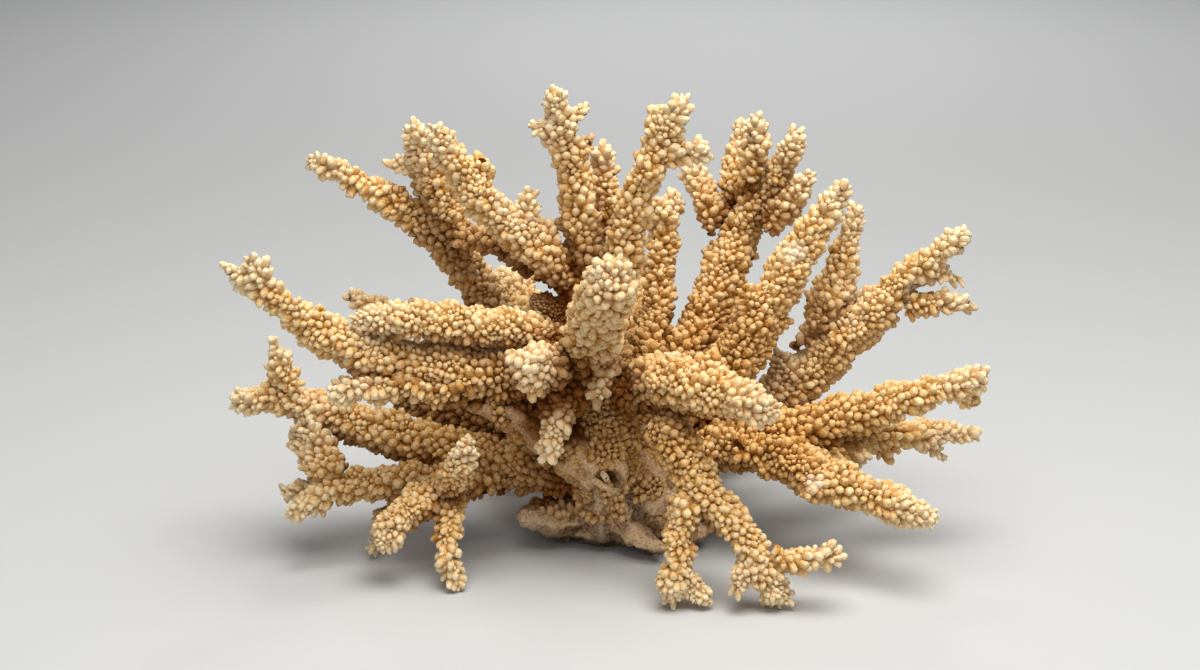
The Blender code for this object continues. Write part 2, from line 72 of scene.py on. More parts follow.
# Two branches within reach of each other have grown together there. Their cores are drawn on
# past each other by the overlap, in full where they are this near.
JOIN_REACH = 3.4 * MM
JOIN_FULL = 1.6 * MM
JOIN_OVERLAP = 0.9 * MM
# No cup stands this near another branch.
JOIN_CLEAR = 1.7 * MM

# Ways over the skin start at the foot, below this height, and cross gaps up to this wide.
FOOT_HEIGHT = 4 * MM
STEP_ACROSS = 3.2 * MM
# A tip is farther along the skin than everything this near it.
TIP_APART = 6 * MM
LONGEST_TIP_WAY = 90 * MM
TIPWARD_SMOOTHING = 4
# A branch's end that is sheltered more than this is no tip.
TIP_SHELTER = 0.7

# Cups: radius, height over the core, and distance between neighbours
CUP_RADIUS = 1.42 * MM
CUP_HEIGHT = 2.6 * MM
TALLEST_CUP = 4.2 * MM
CUP_SPACING = 2.15 * MM
CUP_LEAN = math.radians(29)
# Each cup's own radius, height and lean lie between these shares of those.
RADIUS_RANGE = (0.85, 1.1)
HEIGHT_RANGE = (0.7, 1.3)
LEAN_RANGE = (0.6, 1.25)
# A cup's axis strays this far, and it is turned about its axis at random by the second.
AXIS_STRAY = 0.13
TURN_STRAY = 0.5
# A cup's points are off by up to this, and a cup is wider one way than the other by this.
WOBBLE_RANGE = (0.88, 1.12)
SQUASH_RANGE = (0.86, 1.16)
# Cups shrink to this share at a tip, over this zone.
TIP_CUP_SHARE = 0.82
TIP_ZONE = 18 * MM
# An underside's cups hang down longer by up to this share.
HANGING = 0.4
# A cup on a scar is worn down by this share.
SCAR_WEAR = 0.35
# Cups grow larger and smaller from place to place by this share, in patches this wide.
PATCH_SHARE = 0.5
PATCH_WAVE = 8 * MM
# Some branches have larger or smaller cups than the rest.
CUP_SHARES = {
    "front_centre_branch": 1.2,
    "front_low_stub": 1.15,
    "front_left_stub": 1.1,
    "left_ridge_branch": 0.85,
    "left_long_branch": 0.92,
    "front_right_branch": 0.92,
    "front_leg": 0.92,
    "front_second_leg": 0.92,
    "lower_left_front_branch": 0.85,
    "lower_left_front_fork": 0.72,
    "worn_brown_stub": 0.5,
    HOLDFAST: 0.85,
}
# Cups come in these sizes, the large ones placed first and the small ones between them. Each
# size has this many tries for every cup that would fit.
CUP_SIZES = (1.25, 1.0, 0.82, 0.62)
TRIES = 4
# The rings of a cup as (share of its radius, share of its height), foot first
CUP_RINGS = ((1.15, -0.4), (1.0, 0.36), (0.73, 0.81))
# A cup under this size has fewer sides.
SMALL_CUP = 0.85
LARGE_CUP_SIDES = 7
SMALL_CUP_SIDES = 5

# The trunk's crust is bare below this height, give or take the second.
TRUNK_BARE_BELOW = 46 * MM
TRUNK_BARE_WANDER = 5 * MM
# Between these heights it has patches of cups all the same, where its wave is over the last.
FOOT_PATCHES = (17 * MM, 35 * MM)
FOOT_PATCH_WAVE = 10 * MM
FOOT_PATCH_LEAST = 0.12
# The shelf has cups all along its rim, and behind it where its wave is under the last.
SHELF_RIM = 9 * MM
SHELF_PATCH_WAVE = 8 * MM
SHELF_PATCH_MOST = -0.32

# Relief of the bare crust: the depth of its lumps, pits and grains, and how wide they are
CRUST_RELIEF = ((2.2 * MM, 9 * MM), (1.5 * MM, 4 * MM), (0.9 * MM, 1.8 * MM))
# Crust that bulges this far from the crust smoothed this many times is a pale rim.
RIM_BULGE = 1.2 * MM
RIM_SMOOTHING = 40

# Where other branches stand round a place it is sheltered, and its colour is darkened there with
# painted shade. They are looked for this far out and up, in cells of this size, blurred this
# many times.
SHELTER_REACH = 7 * MM
SHELTER_RISE = 7 * MM
SHELTER_CELL = 4 * MM
SHELTER_BLUR = 7
SHELTER_SMOOTHING = 6
# Shelter begins where this share of the cells is filled, and is full at the second.
SHELTER_FILLED = (0.17, 0.44)
# The trunk's front is in the open between the legs, so only this share of its painted shade from
# shelter counts.
TRUNK_FRONT_SHADE = 0.12
# A surface faces the front, or down, from not at all to in full between these parts of its
# direction.
FACING_FRONT = (0, -0.625)
FACING_DOWN = (0.154, -0.615)
# Some pieces are darkened all over with painted shade, as if sheltered at least this much.
SHADED_PIECES = {"left_dark_branch": 0.65, "worn_brown_stub": 0.25}

# Near the floor the foot is drawn in by this share of its width, so that its rim overhangs.
FOOT_MIDDLE = np.array((2, 4)) * MM
UNDERCUT_HEIGHT = 7 * MM
UNDERCUT_SHARE = 0.24
# Below this height, what faces down on the foot is darkened with painted shade, by up to this
# share.
SHADED_BELOW = 16 * MM
UNDERSIDE_SHADE = 0.75

# Broken twigs and scars, worn smooth: branch, place and radius in millimetres
SCARS = (
    ("front_right_branch", (24, -36, 99), 7),
    ("right_spear_branch", (74, 2, 125), 5),
    ("right_long_branch", (125, 6, 108), 4),
    ("right_low_branch", (81, -47, 43), 3.5),
)
# A scar fades in from the first share of its radius to the second.
SCAR_FADE = (1.455, 0.545)

# A crevice in the trunk's front, darkened inside with painted shade
CREVICE_PLACE = Vector((-5, -26, 36)) * MM
CREVICE_RADII = Vector((10, 8, 4.8)) * MM
CREVICE_DEPTH = 4.5 * MM
CREVICE_WAVE = 4 * MM
# It deepens from the first share of its radii to the second.
CREVICE_FADE = (1.3, 0.3)

# A worm's tube in the crevice and a ridge under it, with their radii, in millimetres
WORM_TUBE = ((-4.5, -23, 38), (-3.6, -27, 38.6), (-2.2, -30, 38))
WORM_TUBE_RADIUS = 1.4
RIDGE = (
    (-15, -21, 34),
    (-12, -25, 36.5),
    (-8, -28, 36.5),
    (-4, -29.5, 34.5),
    (0, -29.5, 32.3),
    (4, -27.5, 32),
)
RIDGE_RADIUS = 1.4
BEAD_SIDES = 10
# A closed bead narrows to this share at its ends.
BEAD_END = 0.45
# The tube's mouth, as (millimetres inwards, share of its radius), from its lip to its bottom
TUBE_MOUTH = ((-0.3, 0.7), (0.4, 0.42), (2.2, 0.3))
BEAD_ROUGHNESS = 0.9 * MM
BEAD_WAVE = 2.2 * MM


class Skin:
    """The rounded cores of all branches as one surface, with what is measured on it."""

    def __init__(self, names):
        self.names = names
        points, triangles, owners = [], [], []
        first = 0
        for place, name in enumerate(names):
            own_points, own_triangles = rounded_core(name)
            points.append(own_points)
            triangles.append(own_triangles + first)
            owners.append(np.full(len(own_points), place))
            first += len(own_points)
        self.points = np.vstack(points)
        self.triangles = np.vstack(triangles)
        self.owner = np.concatenate(owners)
        self.edges = edges_of(self.triangles)
        self.crusted = self.of(HOLDFAST) | self.of(SHELF)

    def of(self, name):
        """Which points are this branch's."""
        return self.owner == self.names.index(name)

    def smoothed(self, values, times):
        """Values at the points, each averaged with its neighbours' this many times."""
        start, end = self.edges.T
        neighbours = np.bincount(self.edges.ravel(), minlength=len(values))
        count = (1 + neighbours).reshape((-1,) + (1,) * (values.ndim - 1))
        for _ in range(times):
            total = values.copy()
            np.add.at(total, start, values[end])
            np.add.at(total, end, values[start])
            values = total / count
        return values


def mesh_arrays(mesh):
    """The points and the triangles of a mesh."""
    mesh.calc_loop_triangles()
    points = np.empty(3 * len(mesh.vertices), np.float32)
    mesh.vertices.foreach_get("co", points)
    triangles = np.empty(3 * len(mesh.loop_triangles), np.int32)
    mesh.loop_triangles.foreach_get("vertices", triangles)
    return points.reshape(-1, 3).astype(float), triangles.reshape(-1, 3).astype(int)


def rounded_core(name):
    """A solid's points and triangles with its facets rounded off."""
    voxel = CRUST_VOXEL if name in CRUSTED else CORE_VOXEL
    mesh = frame["nodes"][name].data.copy()
    obj = bpy.data.objects.new("core", mesh)
    bpy.context.scene.collection.objects.link(obj)
    remesh = obj.modifiers.new("even", "REMESH")
    remesh.mode = "VOXEL"
    remesh.voxel_size = voxel
    rounding = obj.modifiers.new("round", "SMOOTH")
    rounding.iterations = round(ROUNDING / voxel)
    graph = bpy.context.evaluated_depsgraph_get()
    arrays = mesh_arrays(obj.evaluated_get(graph).to_mesh())
    bpy.data.objects.remove(obj)
    bpy.data.meshes.remove(mesh)
    return arrays


def edges_of(triangles):
    """Each pair of neighbouring points once."""
    pairs = np.vstack([triangles[:, [0, 1]], triangles[:, [1, 2]], triangles[:, [2, 0]]])
    return np.unique(np.sort(pairs, axis=1), axis=0)


def unit(vectors):
    """The vectors with length 1."""
    return vectors / np.maximum(np.linalg.norm(vectors, axis=-1, keepdims=True), 1e-12)


def ramp(values, start, end):
    """0 at the start, 1 at the end, smooth between them and held beyond them."""
    share = np.clip((values - start) / (end - start), 0, 1)
    return share * share * (3 - 2 * share)


def waves(points, width, seed=0):
    """A smooth random field between about -1 and 1 that changes over this width."""
    offset = Vector((seed * 17.3, seed * 5.9, seed * 11.1))
    return np.array([noise.noise(Vector(point) / width + offset) for point in points])


def point_normals(points, triangles):
    """The direction in which the surface faces at each point."""
    a, b, c = (points[triangles[:, corner]] for corner in range(3))
    face = np.cross(b - a, c - a)
    normals = np.zeros_like(points)
    for corner in range(3):
        np.add.at(normals, triangles[:, corner], face)
    return unit(normals)


def undercut_foot(skin):
    """Draws the foot in near the floor."""
    low = ramp(skin.points[:, 2], UNDERCUT_HEIGHT, 0.2 * UNDERCUT_HEIGHT) * skin.of(HOLDFAST)
    from_middle = skin.points[:, :2] - FOOT_MIDDLE
    skin.points[:, :2] -= UNDERCUT_SHARE * low[:, None] * from_middle


def tree_of(points):
    """A search tree that finds the points near a place."""
    tree = KDTree(len(points))
    for place, point in enumerate(points):
        tree.insert(point, place)
    tree.balance()
    return tree


def find_neighbours(skin):
    """For each point, the nearest point of another branch within reach, or -1, and its distance."""
    other = np.full(len(skin.points), -1)
    gap = np.full(len(skin.points), np.inf)
    boxes = np.zeros(len(skin.points), int)
    for name in skin.names:
        own = skin.points[skin.of(name)]
        low = own.min(0) - JOIN_REACH
        high = own.max(0) + JOIN_REACH
        boxes += np.all((skin.points > low) & (skin.points < high), axis=1)
    for place in np.flatnonzero(boxes > 1).tolist():
        for _, found, distance in skin.tree.find_range(skin.points[place], JOIN_REACH):
            if skin.owner[found] != skin.owner[place]:
                other[place] = found
                gap[place] = distance
                break
    return other, gap


def draw_together(skin):
    """Moves the cores on past each other where branches have grown together."""
    near = np.flatnonzero(skin.other >= 0)
    towards = skin.points[skin.other[near]] - skin.points[near]
    share = ramp(skin.gap[near], JOIN_REACH, JOIN_FULL)[:, None]
    skin.points[near] += share * (0.5 * towards + JOIN_OVERLAP * unit(towards))


def links_of(skin):
    """For each point, the points one step away on the surface or across a join, with distances."""
    joined = np.flatnonzero((skin.other >= 0) & (skin.gap < STEP_ACROSS))
    pairs = np.vstack([skin.edges, np.column_stack([joined, skin.other[joined]])])
    lengths = np.linalg.norm(skin.points[pairs[:, 0]] - skin.points[pairs[:, 1]], axis=1)
    links = [[] for _ in range(len(skin.points))]
    for (start, end), length in zip(pairs.tolist(), lengths.tolist()):
        links[start].append((end, length))
        links[end].append((start, length))
    return links


def ways_from(starts, links, reach=math.inf):
    """The shortest way over the skin from the starting points to every point within reach."""
    ways = [math.inf] * len(links)
    waiting = []
    for start in starts:
        ways[start] = 0.0
        waiting.append((0.0, start))
    while waiting:
        way, place = heapq.heappop(waiting)
        if way > ways[place] or way > reach:
            continue
        for neighbour, length in links[place]:
            longer = way + length
            if longer < ways[neighbour]:
                ways[neighbour] = longer
                heapq.heappush(waiting, (longer, neighbour))
    return np.array(ways)


def find_tips(skin):
    """The points of the skin that are farther from the foot than all around them."""
    farthest = np.isfinite(skin.way) & (skin.shelter < TIP_SHELTER)
    start, end = skin.edges.T
    farthest[start[skin.way[start] < skin.way[end]]] = False
    farthest[end[skin.way[end] < skin.way[start]]] = False
    tips = []
    for place in np.flatnonzero(farthest).tolist():
        around = skin.tree.find_range(skin.points[place], TIP_APART)
        if all(skin.way[found] <= skin.way[place] for _, found, _ in around):
            tips.append(place)
    return tips


def tipward_directions(skin):
    """The direction in which the way from the foot grows fastest, at each point."""
    start, end = skin.edges.T
    along = skin.points[end] - skin.points[start]
    way = np.where(np.isfinite(skin.way), skin.way, 0)
    pull = along * ((way[end] - way[start]) / np.maximum((along**2).sum(1), 1e-12))[:, None]
    direction = np.zeros_like(skin.points)
    np.add.at(direction, start, pull)
    np.add.at(direction, end, pull)
    return unit(skin.smoothed(unit(direction), TIPWARD_SMOOTHING))


def find_enclosure_shade(skin):
    """How closely other branches stand round each point, from 0 in the open to 1 deep inside. It
    darkens the colour there with painted shade.
    """
    margin = (SHELTER_BLUR + 3) * SHELTER_CELL
    low = skin.points.min(0) - margin
    cells = np.ceil((skin.points.max(0) + margin - low) / SHELTER_CELL).astype(int)
    filled = np.zeros(cells)
    filled[tuple(((skin.points - low) / SHELTER_CELL).astype(int).T)] = 1
    for _ in range(SHELTER_BLUR):
        for axis in range(3):
            filled = (filled + np.roll(filled, 1, axis) + np.roll(filled, -1, axis)) / 3
    outside = skin.points + SHELTER_REACH * skin.normal + (0, 0, SHELTER_RISE)
    around = filled[tuple(((outside - low) / SHELTER_CELL).astype(int).T)]
    shelter = ramp(skin.smoothed(around, SHELTER_SMOOTHING), *SHELTER_FILLED)
    facing_front = ramp(skin.normal[:, 1], *FACING_FRONT) * skin.of(HOLDFAST)
    shelter *= 1 - (1 - TRUNK_FRONT_SHADE) * facing_front
    # These pieces get painted shade all over.
    for name, least in SHADED_PIECES.items():
        shelter = np.maximum(shelter, least * skin.of(name))
    return shelter


def find_scars(skin):
    """How far each point is worn smooth, from 0 to 1."""
    worn = np.zeros(len(skin.points))
    for name, place, radius in SCARS:
        distance = np.linalg.norm(skin.points - np.array(place) * MM, axis=1) / (radius * MM)
        worn = np.maximum(worn, ramp(distance, *SCAR_FADE) * skin.of(name))
    return worn


def find_rims(skin):
    """How far each point of bare crust stands out as a rim, from 0 to 1."""
    bulge = ((skin.points - skin.smoothed(skin.points, RIM_SMOOTHING)) * skin.normal).sum(1)
    return ramp(bulge, 0, RIM_BULGE) * skin.crusted


def open_crevice(skin):
    """Sinks the crevice into the trunk's front and returns how deep each point lies in it, which is
    how far it is darkened with painted shade.
    """
    offset = (skin.points - np.array(CREVICE_PLACE)) / np.array(CREVICE_RADII)
    depth = ramp(np.linalg.norm(offset, axis=1), *CREVICE_FADE) * skin.of(HOLDFAST)
    inside = np.flatnonzero(depth > 0)
    uneven = 0.75 + 1.4 * waves(skin.points[inside], CREVICE_WAVE, seed=7)
    depth[inside] *= np.clip(uneven, 0, 1)
    skin.points = skin.points - CREVICE_DEPTH * depth[:, None] * skin.normal
    return depth


def shade_under_foot(skin):
    """How far each point of the foot is darkened with painted shade from facing down close to the
    floor.
    """
    facing_down = ramp(skin.normal[:, 2], *FACING_DOWN)
    low = ramp(skin.points[:, 2], SHADED_BELOW, 0.5 * SHADED_BELOW)
    return UNDERSIDE_SHADE * facing_down * low * skin.of(HOLDFAST)


def raise_relief(skin):
    """Swells the cores a little, and gives the bare crust its lumps, pits and grains."""
    swell = CORE_SWELL * waves(skin.points, SWELL_WAVE) - CORE_INSET
    crusted = np.flatnonzero(skin.crusted)
    swell[crusted] = 0
    for seed, (depth, width) in enumerate(CRUST_RELIEF, 1):
        swell[crusted] += depth * waves(skin.points[crusted], width, seed)
    skin.points = skin.points + swell[:, None] * skin.normal


def measure(skin):
    """Finds on the skin what the cups and colours depend on, and gives it its relief."""
    undercut_foot(skin)
    skin.tree = tree_of(skin.points)
    skin.other, skin.gap = find_neighbours(skin)
    draw_together(skin)
    links = links_of(skin)
    starts = np.flatnonzero(skin.of(HOLDFAST) & (skin.points[:, 2] < FOOT_HEIGHT))
    skin.way = ways_from(starts.tolist(), links)
    skin.normal = point_normals(skin.points, skin.triangles)
    skin.shelter = find_enclosure_shade(skin)
    tip_way = ways_from(find_tips(skin), links, LONGEST_TIP_WAY)
    skin.tip_way = np.minimum(tip_way, LONGEST_TIP_WAY)
    skin.tipward = tipward_directions(skin)
    skin.worn = find_scars(skin)
    skin.edge = find_rims(skin)
    # Painted shade in the crevice and under the foot
    skin.dark = np.maximum(open_crevice(skin), shade_under_foot(skin))
    raise_relief(skin)


def bare_places(name, points, tip_way):
    """Which of these places on a branch have crust and no cups."""
    if name == HOLDFAST:
        height = points[:, 2] + TRUNK_BARE_WANDER * waves(points, FOOT_PATCH_WAVE, seed=8)
        low, high = FOOT_PATCHES
        patch = waves(points, FOOT_PATCH_WAVE, seed=9) > FOOT_PATCH_LEAST
        patch &= (height > low) & (height < high)
        return (height < TRUNK_BARE_BELOW) & ~patch
    if name == SHELF:
        patch = waves(points, SHELF_PATCH_WAVE, seed=11) <= SHELF_PATCH_MOST
        return (tip_way > SHELF_RIM) & ~patch
    return np.zeros(len(points), bool)


def spread_out(places, spacing):
    """Which places are kept, in turn, if two may not be nearer than their mean spacing."""
    cell = float(spacing.max())
    keys = np.floor(places / cell).astype(int).tolist()
    grid = {}
    kept = []
    for index, (key, place, gap) in enumerate(zip(keys, places.tolist(), spacing.tolist())):
        x, y, z = place
        near = (
            other
            for i in range(key[0] - 1, key[0] + 2)
            for j in range(key[1] - 1, key[1] + 2)
            for k in range(key[2] - 1, key[2] + 2)
            for other in grid.get((i, j, k), ())
        )
        if all(
            (x - far_x) ** 2 + (y - far_y) ** 2 + (z - far_z) ** 2 >= (0.5 * (gap + far_gap)) ** 2
            for far_x, far_y, far_z, far_gap in near
        ):
            grid.setdefault(tuple(key), []).append((x, y, z, gap))
            kept.append(index)
    return np.array(kept, int)


def cup_template(sides):
    """The points of an upright cup in shares of its radius and height, and its triangles."""
    points = []
    for ring, (radius, height) in enumerate(CUP_RINGS):
        for side in range(sides):
            turn = 2 * math.pi * (side + 0.5 * (ring % 2)) / sides
            points.append((math.cos(turn) * radius, math.sin(turn) * radius, height))
    points.append((0, 0, 1))
    triangles = []
    for ring in range(len(CUP_RINGS) - 1):
        low, high = ring * sides, (ring + 1) * sides
        for side in range(sides):
            onward = (side + 1) % sides
            if ring % 2 == 0:
                triangles.append((low + side, low + onward, high + side))
                triangles.append((high + side, low + onward, high + onward))
            else:
                triangles.append((low + side, low + onward, high + onward))
                triangles.append((high + side, low + side, high + onward))
    top = (len(CUP_RINGS) - 1) * sides
    for side in range(sides):
        triangles.append((top + side, top + (side + 1) % sides, len(points) - 1))
    return np.array(points), np.array(triangles)


LARGE_CUP_SHAPE = cup_template(LARGE_CUP_SIDES)
SMALL_CUP_SHAPE = cup_template(SMALL_CUP_SIDES)

# What the colours depend on at each point: the share of a cup's height, the way to the nearest
# tip in millimetres, how sheltered it is, which darkens it with painted shade, a random tint
# for each cup, and how far it is worn, bare crust, a rim, and painted shade in crevices, hollows
# and under the foot.
FIELDS = ("rise", "tip_way", "shelter", "tint", "worn", "crust", "edge", "dark")


class Piece:
    """The points, triangles and point fields of one branch while it is put together."""

    def __init__(self):
        self.points = np.zeros((0, 3))
        self.triangles = np.zeros((0, 3), int)
        self.fields = {name: np.zeros(0) for name in FIELDS}

    def add(self, points, triangles, **fields):
        """Adds a mesh with its fields. A field that isn't given is 0."""
        self.triangles = np.vstack([self.triangles, triangles + len(self.points)])
        self.points = np.vstack([self.points, points])
        for name, values in self.fields.items():
            added = np.broadcast_to(fields.get(name, 0.0), len(points))
            self.fields[name] = np.concatenate([values, added])


class Spots:
    """Random places all over a branch, at which the fields of the skin can be read."""

    def __init__(self, skin, place, draw):
        faces = np.flatnonzero(skin.owner[skin.triangles[:, 0]] == place)
        a, b, c = (skin.points[skin.triangles[faces, corner]] for corner in range(3))
        area = np.linalg.norm(np.cross(b - a, c - a), axis=1) / 2
        count = int(TRIES * area.sum() / CUP_SPACING**2) * len(CUP_SIZES)
        face = faces[draw.choice(len(faces), count, p=area / area.sum())]
        first = np.sqrt(draw.random(count))
        second = draw.random(count)
        self.corners = skin.triangles[face]
        self.weights = np.column_stack([1 - first, first * (1 - second), first * second])

    def read(self, values):
        """The values of the skin's points, at these places."""
        weights = self.weights.reshape(self.weights.shape + (1,) * (values.ndim - 1))
        return (values[self.corners] * weights).sum(1)

    def keep(self, chosen):
        """Drops every place that isn't chosen."""
        self.corners = self.corners[chosen]
        self.weights = self.weights[chosen]


def stand_cups(piece, shape, draw, centre, axis, across, radius, height, **fields):
    """Adds a cup of this shape at each centre, with these fields."""
    shape_points, shape_triangles = shape
    count = len(centre)
    beside = np.cross(axis, across)
    wobble = draw.uniform(*WOBBLE_RANGE, (count, len(shape_points)))
    squash = draw.uniform(*SQUASH_RANGE, (count, 1))
    x, y, z = shape_points.T
    points = (
        centre[:, None]
        + across[:, None] * (radius[:, None] * squash * wobble * x)[:, :, None]
        + beside[:, None] * (radius[:, None] / squash * wobble * y)[:, :, None]
        + axis[:, None] * (height[:, None] * wobble * z)[:, :, None]
    )
    triangles = shape_triangles[None] + len(shape_points) * np.arange(count)[:, None, None]
    piece.add(
        points.reshape(-1, 3),
        triangles.reshape(-1, 3),
        rise=np.tile(np.clip(0.1 + 0.9 * z, 0, 1), count),
        tint=np.repeat(draw.random(count), len(shape_points)),
        **{field: np.repeat(values, len(shape_points)) for field, values in fields.items()},
    )


def add_cups(piece, skin, place, draw):
    """Sets cups all over a branch, except where it is bare or joins another."""
    name = skin.names[place]
    spots = Spots(skin, place, draw)
    centre = spots.read(skin.points)
    tip_way = spots.read(skin.tip_way)
    size = np.repeat(CUP_SIZES, len(centre) // len(CUP_SIZES)) * CUP_SHARES.get(name, 1)
    size = size * (TIP_CUP_SHARE + (1 - TIP_CUP_SHARE) * ramp(tip_way, 0, TIP_ZONE))
    size = size * (1 + PATCH_SHARE * waves(centre, PATCH_WAVE, seed=5))
    clear = spots.read(np.minimum(skin.gap, JOIN_REACH)) > JOIN_CLEAR
    free = np.flatnonzero(clear & ~bare_places(name, centre, tip_way))
    if not len(free):
        return
    chosen = free[spread_out(centre[free], CUP_SPACING * size[free])]
    spots.keep(chosen)
    size = size[chosen]
    count = len(chosen)

    normal = unit(spots.read(skin.normal))
    tipward = unit(spots.read(skin.tipward))
    worn = spots.read(skin.worn)
    lean = CUP_LEAN * draw.uniform(*LEAN_RANGE, count)[:, None]
    stray = draw.normal(0, AXIS_STRAY, (count, 3))
    axis = unit(np.cos(lean) * normal + np.sin(lean) * tipward + stray)
    across = unit(np.cross(axis, tipward + draw.normal(0, TURN_STRAY, (count, 3))))
    radius = CUP_RADIUS * size * draw.uniform(*RADIUS_RANGE, count)
    height = CUP_HEIGHT * size * draw.uniform(*HEIGHT_RANGE, count)
    height = height * (1 + HANGING * np.maximum(-normal[:, 2], 0)) * (1 - SCAR_WEAR * worn)
    cups = {
        "centre": centre[chosen],
        "axis": axis,
        "across": across,
        "radius": radius,
        "height": np.minimum(height, TALLEST_CUP),
        "tip_way": tip_way[chosen],
        "worn": worn,
        "shelter": spots.read(skin.shelter),
    }
    large = size >= SMALL_CUP
    for shape, group in ((LARGE_CUP_SHAPE, large), (SMALL_CUP_SHAPE, ~large)):
        stand_cups(piece, shape, draw, **{key: values[group] for key, values in cups.items()})


def bead_rings(route, radius, hollow):
    """The rings of a bead as (middle, two directions across it, radius)."""
    middle = np.array(route, float) * MM
    last = len(middle) - 1
    rings = []
    for index, place in enumerate(middle):
        ahead = middle[min(index + 1, last)] - middle[max(index - 1, 0)]
        across = unit(np.cross(ahead, (0.0, 0.0, 1.0)))
        beside = unit(np.cross(ahead, across))
        closing = index in (0, last) and not hollow
        rings.append((place, across, beside, radius * MM * (BEAD_END if closing else 1)))
    if hollow:
        place, across, beside, outer = rings[-1]
        inward = unit(middle[-2] - middle[-1])
        for depth, share in TUBE_MOUTH:
            rings.append((place + depth * MM * inward, across, beside, share * outer))
    return rings


def add_bead(piece, route, radius, hollow=False):
    """Adds a pale bead along a route in millimetres, with a hole in its far end if hollow."""
    rings = bead_rings(route, radius, hollow)
    points = []
    for place, across, beside, reach in rings:
        for side in range(BEAD_SIDES):
            turn = 2 * math.pi * side / BEAD_SIDES
            points.append(place + reach * (math.cos(turn) * across + math.sin(turn) * beside))
    points += [rings[0][0], rings[-1][0]]
    first_end, last_end = len(points) - 2, len(points) - 1
    last = (len(rings) - 1) * BEAD_SIDES
    triangles = []
    for side in range(BEAD_SIDES):
        onward = (side + 1) % BEAD_SIDES
        for low in range(0, last, BEAD_SIDES):
            high = low + BEAD_SIDES
            triangles.append((low + side, high + side, low + onward))
            triangles.append((high + side, high + onward, low + onward))
        triangles.append((first_end, side, onward))
        triangles.append((last + onward, last + side, last_end))
    dark = np.zeros(len(points))
    # The inside of the tube's mouth is darkened with painted shade.
    if hollow:
        dark[last:] = 1
    points = np.array(points)
    from_middle = unit(points - points.mean(0))
    points += BEAD_ROUGHNESS * waves(points, BEAD_WAVE, seed=6)[:, None] * from_middle
    worn, edge = (0.6, 1) if hollow else (0, 0.8)
    piece.add(points, np.array(triangles), crust=1, worn=worn, edge=edge, dark=dark, tint=0.5)


def build_piece(skin, place):
    """One branch: its core, its cups, and on the trunk the tube and the ridge at the crevice."""
    name = skin.names[place]
    draw = np.random.default_rng(zlib.crc32(name.encode()))
    piece = Piece()
    own = np.flatnonzero(skin.owner == place)
    piece.add(
        skin.points[own],
        skin.triangles[skin.owner[skin.triangles[:, 0]] == place] - own[0],
        tip_way=skin.tip_way[own],
        shelter=skin.shelter[own],
        tint=0.5,
        worn=skin.worn[own],
        crust=bare_places(name, skin.points[own], skin.tip_way[own]),
        edge=skin.edge[own],
        dark=skin.dark[own],
    )
    add_cups(piece, skin, place, draw)
    if name == HOLDFAST:
        add_bead(piece, WORM_TUBE, WORM_TUBE_RADIUS, hollow=True)
        add_bead(piece, RIDGE, RIDGE_RADIUS)
    piece.points[:, 2] = np.maximum(piece.points[:, 2], 0)
    piece.fields["tip_way"] /= MM
    obj = bpy.data.objects.new("coral_" + name, build_mesh("coral_" + name, piece))
    bpy.context.scene.collection.objects.link(obj)
    return obj


def build_mesh(name, piece):
    """A smooth mesh that carries the piece's fields."""
    mesh = bpy.data.meshes.new(name)
    mesh.vertices.add(len(piece.points))
    mesh.vertices.foreach_set("co", piece.points.astype(np.float32).ravel())
    mesh.loops.add(3 * len(piece.triangles))
    mesh.loops.foreach_set("vertex_index", piece.triangles.astype(np.int32).ravel())
    mesh.polygons.add(len(piece.triangles))
    starts = np.arange(0, 3 * len(piece.triangles), 3, dtype=np.int32)
    mesh.polygons.foreach_set("loop_start", starts)
    mesh.update(calc_edges=True)
    mesh.validate()
    mesh.shade_smooth()
    for field, values in piece.fields.items():
        attribute = mesh.attributes.new(field, "FLOAT", "POINT")
        attribute.data.foreach_set("value", values.astype(np.float32))
    return mesh


class Value:
    """A number or a colour from a material's node. Numbers take part in plain arithmetic."""

    def __init__(self, shader, socket):
        self.shader = shader
        self.socket = socket

    def math(self, operation, *numbers):
        values = dict(enumerate(numbers))
        return self.shader.node("ShaderNodeMath", {"operation": operation}, values)

    def __add__(self, other):
        return self.math("ADD", self, other)

    def __sub__(self, other):
        return self.math("SUBTRACT", self, other)

    def __rsub__(self, other):
        return self.math("SUBTRACT", other, self)

    def __mul__(self, other):
        return self.math("MULTIPLY", self, other)

    __radd__ = __add__
    __rmul__ = __mul__

    def between(self, low, high):
        """0 at low, 1 at high, and held there beyond them."""
        inputs = {"Value": self, "From Min": low, "From Max": high}
        settings = {"interpolation_type": "SMOOTHSTEP"}
        return self.shader.node("ShaderNodeMapRange", settings, inputs, "Result")


